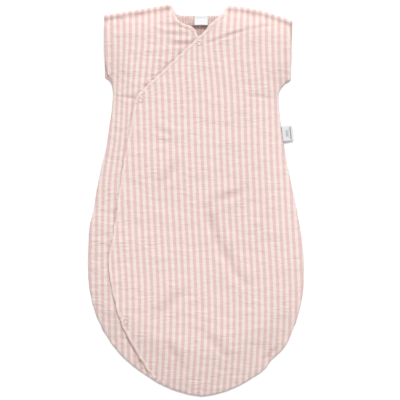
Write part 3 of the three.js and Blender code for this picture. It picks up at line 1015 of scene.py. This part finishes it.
def back_cloth():
    outline = np.vstack([back_neckline(), side_down(*RIGHT)[1:], side_down(*LEFT)[-2:0:-1]])
    cloth = cloth_sheet("back_cloth", outline, back_surface, back_grain, back_fold_shade,
                        BACK_MESH_STEP)
    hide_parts("back_panel")
    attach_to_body(cloth, "bag")


# ------------------------------------------------------------------ trims


def skin(sections):
    """Faces that join rings of points, with a cap on each end."""
    count, around = sections.shape[:2]
    faces = []
    for i in range(count - 1):
        for k in range(around):
            a, b = i * around + k, i * around + (k + 1) % around
            faces.append((a, b, b + around, a + around))
    faces.append(tuple(range(around))[::-1])
    faces.append(tuple(range((count - 1) * around, count * around)))
    return sections.reshape(-1, 3), faces


def along_path(path, step):
    """Evenly spaced places on a path, the direction there, and the way travelled."""
    places = resample(path, step)
    direction = np.gradient(places, axis=0)
    kernel = np.ones(5) / 5
    padded = np.vstack([direction[:1]] * 2 + [direction] + [direction[-1:]] * 2)
    direction = np.stack([np.convolve(padded[:, k], kernel, "valid") for k in (0, 1)], 1)
    direction /= np.linalg.norm(direction, axis=1, keepdims=True)
    way = np.concatenate([[0], np.cumsum(np.linalg.norm(np.diff(places, axis=0), axis=1))])
    return places, direction, way


# The section of a binding folded round a cloth edge: inward from the edge, and up from the
# cloth's upper surface.
BINDING_SECTION = np.array([
    (1.0, 0.1), (0.97, 0.28), (0.84, 0.42), (0.45, 0.6), (0.1, 0.54), (-0.07, 0.24),
    (-0.15, -0.3), (-0.15, -0.95), (-0.07, -1.5), (0.1, -1.82), (0.45, -1.92), (0.84, -1.86),
    (0.97, -1.7), (1.0, -1.35), (0.45, -1.3), (0.06, -1.28), (0.0, -0.6), (0.06, 0.06),
    (0.45, 0.08)])


def binding(name, path, inward_turn, surface, grain, node, blend):
    """A strip of self cloth folded round a free edge. inward_turn is 1 where the cloth lies to
    the left of the way along the path, -1 where it lies to the right."""
    places, direction, way = along_path(path, 2.0)
    inward = left_of(direction) * inward_turn
    rings = []
    grains = []
    for across, up in BINDING_SECTION:
        at = places + inward * across * BINDING_WIDTH
        pucker = noise_at(np.column_stack([way, np.full(len(way), across * 4)]), 2.6, 3, 51)
        height = surface(at) + up + 0.4 * pucker * (up > 0.2)
        rings.append(np.column_stack([at, height]))
        grains.append(grain(at) + (0, 0, BINDING_CUT))
    points, faces = skin(np.stack(rings, 1))
    strip = make_object(name, points, faces, binding_cloth, np.stack(grains, 1).reshape(-1, 3))
    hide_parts(node)
    blend(strip)
    stitches(name + "_stitches", places + inward * 0.8 * BINDING_WIDTH, surface, 0.5, blend)


def stitches(name, path, surface, lift, attach):
    """A row of stitches that lies on a surface along a path."""
    pitch, length, width = 3.2, 2.3, 0.55
    places, direction, _ = along_path(path, pitch)
    across = left_of(direction)
    points, faces = [], []
    around = np.linspace(0, 2 * np.pi, 6, endpoint=False)
    heights = surface(places) + lift
    for place, forward, aside, z in zip(places, direction, across, heights):
        rings = []
        for t, fat in ((-0.5, 0.35), (-0.36, 0.85), (0, 1), (0.36, 0.85), (0.5, 0.35)):
            middle = place + forward * t * length
            sink = -0.5 * (2 * t) ** 4
            rings.append([
                (middle[0] + aside[0] * np.cos(a) * fat * width / 2,
                 middle[1] + aside[1] * np.cos(a) * fat * width / 2,
                 z + sink + np.sin(a) * fat * width / 2) for a in around])
        ring_points, ring_faces = skin(np.array(rings))
        faces += [tuple(i + len(points) for i in face) for face in ring_faces]
        points += ring_points.tolist()
    row = make_object(name, points, faces, thread)
    attach(row)


def ride_bag(piece):
    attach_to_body(piece, "bag")


def stands_for(piece, node, body="bag"):
    """Hides the CAD node that a piece stands for, and hangs the piece on the body that carries it.
    """
    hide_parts(node)
    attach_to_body(piece, body)


def inset_path(cuff, inset):
    """A line beside a cuff, a little short of the seams at its ends."""
    top, bottom = np.array(cuff, float)
    along = (bottom - top) / np.linalg.norm(bottom - top)
    toward_middle = np.array([-np.sign(top[0]), 0])
    return np.array([top + along * 5 + toward_middle * inset,
                     bottom - along * 4 + toward_middle * inset])


def neck_casing():
    """The gathered casing at the back of the neck, with its elastic inside."""
    low, high = node_box("neck_casing")
    around = np.linspace(0, 2 * np.pi, 26, endpoint=False)
    columns = np.arange(low[0], high[0] + 0.1, 0.7)
    middle_y, half = (low[1] + high[1]) / 2, (high[1] - low[1]) / 2
    underside, loft = 2.85, 2.9
    rings, grains, fold_shades = [], [], []
    for x in columns:
        ring = []
        for a in around:
            fold = noise.noise(Vector((x / 1.6, math.cos(a) * 1.2, 5)))
            slack = noise.noise(Vector((x / 5, math.cos(a), 8)))
            y = middle_y + (half + 0.5 * slack) * math.copysign(abs(math.cos(a)) ** 0.8, math.cos(a))
            z = underside + (loft + 0.9 * fold) * max(math.sin(a), 0) ** 0.6
            ring.append((x, y, z))
            # Painted fold shade in the casing's gather valleys.
            fold_shades.append(0.25 - 0.7 * fold)
        rings.append(ring)
        grains.append([(2.4 * x, half * a, CASING_CUT) for a in around])
    points, faces = skin(np.array(rings))
    casing = make_object("casing_cloth", points, faces, gauze, np.array(grains).reshape(-1, 3),
                         np.clip(fold_shades, 0, 1))
    stands_for(casing, "neck_casing")
    stitches_on_level("casing_stitches", low[0] + 2, high[0] - 2, low[1] + 1.2, 5.35)


def stitches_on_level(name, left, right, y, z):
    """A straight row of stitches across the bag, all at one height."""
    stitches(name, np.array([(left, y), (right, y)]), lambda p: np.full(len(p), z), 0, ride_bag)


def neck_elastic():
    """A ribbed elastic band, whose ends come out of the casing."""
    low, high = node_box("neck_elastic")
    columns = np.arange(low[0], high[0] + 0.01, 0.5)
    t = np.linspace(0, 1, 9)
    y = low[1] + (high[1] - low[1]) * t
    rings = []
    for i, x in enumerate(columns):
        rib = 0.12 * (-1) ** i * np.sin(np.pi * t)
        upper = np.column_stack([np.full(len(y), x), y, high[2] + rib])
        lower = np.column_stack([np.full(len(y), x), y, low[2] - rib])
        rings.append(np.vstack([upper, lower[::-1]]))
    points, faces = skin(np.array(rings))
    band = make_object("elastic_band", points, faces, satin)
    stands_for(band, "neck_elastic")


def folded_label(name, node, place, length, material):
    """A folded loop of satin tape. place(t, s, skin_side) gives a point of it: t from one cut
    end to the other, s across the tape, both from 0 to 1, and its thickness side."""
    thickness = 0.45
    path_t = np.linspace(0, 1, 41)
    across_s = np.linspace(0, 1, 15)
    outer = np.array([[place(t, s, thickness / 2) for s in across_s] for t in path_t])
    inner = np.array([[place(t, s, -thickness / 2) for s in across_s] for t in path_t])
    rings = np.concatenate([outer, inner[:, ::-1]], axis=1)
    points, faces = skin(rings)
    grain = [[(length * (1 - abs(2 * t - 1)), s - 0.5, 0) for s in across_s] for t in path_t]
    grain = np.concatenate([grain, np.array(grain)[:, ::-1]], axis=1).reshape(-1, 3)
    label = make_object(name, points, faces, material, grain)
    stands_for(label, node)


def loop_section(t, reach, gap, side):
    """The side view of a folded loop: how far out and how far up a place on it is."""
    bend = np.pi * gap / 2
    straight = reach - gap / 2
    way = t * (2 * straight + bend)
    if way < straight:
        return way, -gap / 2 - side
    if way < straight + bend:
        angle = (way - straight) / (gap / 2)
        radius = gap / 2 + side
        return straight + radius * math.sin(angle), -radius * math.cos(angle)
    return straight - (way - straight - bend), gap / 2 + side


def neck_label():
    """A folded tape that hangs down from the back neckline."""
    low, high = node_box("neck_label")
    width, reach = high[0] - low[0], high[1] - low[1]
    middle_z, gap = 7.25, 1.0

    def place(t, s, side):
        out, up = loop_section(t, reach, gap, side)
        curl = 0.9 * (out / reach) ** 2 + 0.5 * math.cos(np.pi * (s - 0.5)) * (1 - out / reach)
        y = high[1] - out + 0.5 * math.sin(np.pi * s)
        return low[0] + width * s, y, middle_z + up + curl

    folded_label("neck_tape", "neck_label", place, reach, neck_satin)
    stitches_on_level("neck_tape_stitches", low[0] + 1.5, high[0] - 1.5, high[1] - 1.6, 8.4)


def side_label():
    """A folded tape that stands out from the right side seam, turned a little up the bag."""
    low, high = node_box("side_label")
    turn = 0.1
    reach, width = 17.5, 26.0
    middle_z, gap = 3.5, 1.1
    root = np.array([low[0] + 1.3, (low[1] + high[1]) / 2 - 1.0])
    outward = np.array([math.cos(turn), math.sin(turn)])
    upward = np.array([-math.sin(turn), math.cos(turn)])

    def place(t, s, side):
        out, up = loop_section(t, reach + 0.6 * math.sin(3 * s), gap, side)
        at = root + outward * (out - 1.5) + upward * (s - 0.5) * width
        lift = 0.5 * (out / reach) * math.sin(2 + 2.6 * s)
        droop = 1.7 * smooth(out / reach)
        return at[0], at[1], middle_z + up + lift - droop

    folded_label("side_tape", "side_label", place, reach, side_satin)


def lathe(profile, middle, height, segments=32):
    """A solid of revolution from (radius, height) points that go round its section."""
    angles = np.linspace(0, 2 * np.pi, segments, endpoint=False)
    profile = np.array(profile, float)
    points = np.array([[(middle[0] + r * math.cos(a), middle[1] + r * math.sin(a), height + z)
                        for r, z in profile] for a in angles])
    faces = []
    count = len(profile)
    for i in range(segments):
        for k in range(count):
            a, b = i * count + k, i * count + (k + 1) % count
            c, d = (i + 1) % segments * count + (k + 1) % count, (i + 1) % segments * count + k
            faces.append((a, d, c, b))
    return points.reshape(-1, 3), faces


def prongs(middle, base, tip, count=5):
    """Small pointed prongs of a ring, from its base to their tips."""
    points, faces = [], []
    out, turn = 0.3, 0.16  # half of a prong's width outwards, and half of it round the ring
    for i in range(count):
        angle = 2 * np.pi * i / count
        start = len(points)
        top = start + 4
        for r, a, z in ((-out, -turn, base), (out, -turn, base), (out, turn, base),
                        (-out, turn, base), (0, 0, tip)):
            points.append((middle[0] + (PRONG_CIRCLE + r) * math.cos(angle + a),
                           middle[1] + (PRONG_CIRCLE + r) * math.sin(angle + a), z))
        faces += [(start + k, start + (k + 1) % 4, top) for k in range(4)]
        faces.append((start + 3, start + 2, start + 1, start))
    return points, faces


PRONG_CIRCLE = 3.1  # radius of the circle on which a ring's prongs stand
STUD_BASE = 0.62  # height of the stud's rim
# Sections of the snap pieces, as (radius, height).
RING_SECTION = [(SNAP_HOLE, 0), (SNAP_HOLE, 0.45), (2.85, 0.78), (3.4, 0.92), (4.1, 0.84),
                (4.55, 0.52), (SNAP_RADIUS, 0.12), (4.6, -0.12), (2.8, -0.12)]
SOCKET_SECTION = [(2.1, -0.05), (4.5, -0.05), (SNAP_RADIUS, -0.3), (4.7, -0.95), (4.3, -1.3),
                  (2.6, -1.3), (2.3, -1.15), (2.15, -0.8)]
STUD_SECTION = [(0.15, 1.15), (1.2, 1.1), (1.75, 0.9), (1.95, 0.6), (1.75, 0.25), (1.7, 0),
                (4.4, -0.05), (4.7, -0.25), (4.65, -0.6), (0.15, -STUD_BASE)]


def snap(number, middle, stud_body):
    """A ring snap: ring and socket on the over layer, stud and ring on the layer below it."""
    over_top = over_rest(middle[None, :2])[0]
    under_top = over_top - LAYER_DROP - SNAP_SQUEEZE
    upside_down = [(r, -z) for r, z in RING_SECTION[::-1]]

    def part(kind, section, height, body, prong=None):
        points, faces = lathe(section, middle, height)
        points = points.tolist()
        if prong:
            more, more_faces = prongs(middle, height + prong[0], height + prong[1])
            faces += [tuple(i + len(points) for i in face) for face in more_faces]
            points += more
        piece = make_object(f"snap_{number}_{kind}_metal", points, faces, pearl)
        stands_for(piece, f"snap_{number}_{kind}", body)

    part("front_ring", RING_SECTION, over_top, "over_flap", (0, -1.6))
    part("socket", SOCKET_SECTION, over_top - CLOTH, "over_flap")
    part("stud", STUD_SECTION, under_top + STUD_BASE, stud_body)
    part("back_ring", upside_down, under_top - CLOTH, stud_body, (0, 1.5))


drape = simulated_drape()
over_cloth()
under_cloth()
back_cloth()
binding("over_binding", over_edge(), 1, over_surface, over_grain, "over_edge_binding", blend_over)
binding("under_binding", under_edge(), -1, under_surface, under_grain, "under_edge_binding",
        blend_under)
for cuff_number, (cuff, surface) in enumerate(zip(CUFFS, (over_surface, under_surface)), 1):
    stitches(f"cuff_{cuff_number}_stitches", inset_path(cuff, HEM_WIDTH), surface, 0.1, ride_bag)
neck_casing()
neck_elastic()
neck_label()
side_label()
for snap_number, (middle, stud_body) in enumerate(zip(SNAPS, ("under_flap", "bag", "bag")), 1):
    snap(snap_number, middle, stud_body)

# ------------------------------------------------------------------ stage


WALL_GLOW = 0.605  # how brightly the studio's pale walls light the bag
WALL = 0.95  # how bright they look
FLOOR_REACH = 4000
FLOOR_Z = -0.3  # just clear of the bag
VIEW_WIDTH = 0.664  # metres across the picture, at VIEW_HEIGHT above the floor
VIEW_MIDDLE = 0.0066
VIEW_HEIGHT = 0.004


def pale_floor():
    nodes = Nodes(bpy.data.materials.new("pale_floor"))
    pale = nodes.finished("Principled BSDF", {
        "Base Color": (0.93, 0.93, 0.93, 1),
        "Roughness": 0.9,
    })
    corners = [(across * FLOOR_REACH, along * FLOOR_REACH, FLOOR_Z)
               for across, along in ((-1, -1), (1, -1), (1, 1), (-1, 1))]
    make_object("floor", corners, [(0, 1, 2, 3)], pale)


def pale_walls():
    """White walls that light the bag less brightly than they look."""
    world = bpy.data.worlds.new("studio")
    bpy.context.scene.world = world
    nodes = Nodes(world)
    seen = nodes.add("LightPath", {}, "Is Camera Ray")
    nodes.finished("Background", {
        "Color": (1, 1, 1, 1),
        "Strength": nodes.math("MULTIPLY_ADD", seen, WALL - WALL_GLOW, WALL_GLOW),
    })


def lamp(name, kind, place, direction, **settings):
    """A light of some kind that shines in a direction."""
    light = bpy.data.lights.new(name, kind)
    for setting, value in settings.items():
        setattr(light, setting, value)
    holder = bpy.data.objects.new(name, light)
    holder.location = place
    holder.rotation_euler = Vector(direction).to_track_quat("-Z", "Y").to_euler()
    bpy.context.scene.collection.objects.link(holder)


def camera_above():
    camera = bpy.data.cameras.new("camera")
    camera.lens = 85
    view = bpy.data.objects.new("camera", camera)
    distance = VIEW_WIDTH / 2 / math.tan(camera.angle / 2)
    view.location = (VIEW_MIDDLE, 0, distance + VIEW_HEIGHT)
    bpy.context.scene.collection.objects.link(view)
    bpy.context.scene.camera = view
    bpy.context.scene.view_settings.view_transform = "Standard"


pale_floor()
pale_walls()
lamp("window", "SUN", (0, 0, 0), (-0.22, -1.0, -1.05), energy=1.8, angle=math.radians(14))
lamp("lamp", "AREA", (0.1, 0.9, 1.6), (-0.1, -0.9, -1.6), size=1.2, energy=7)
camera_above()
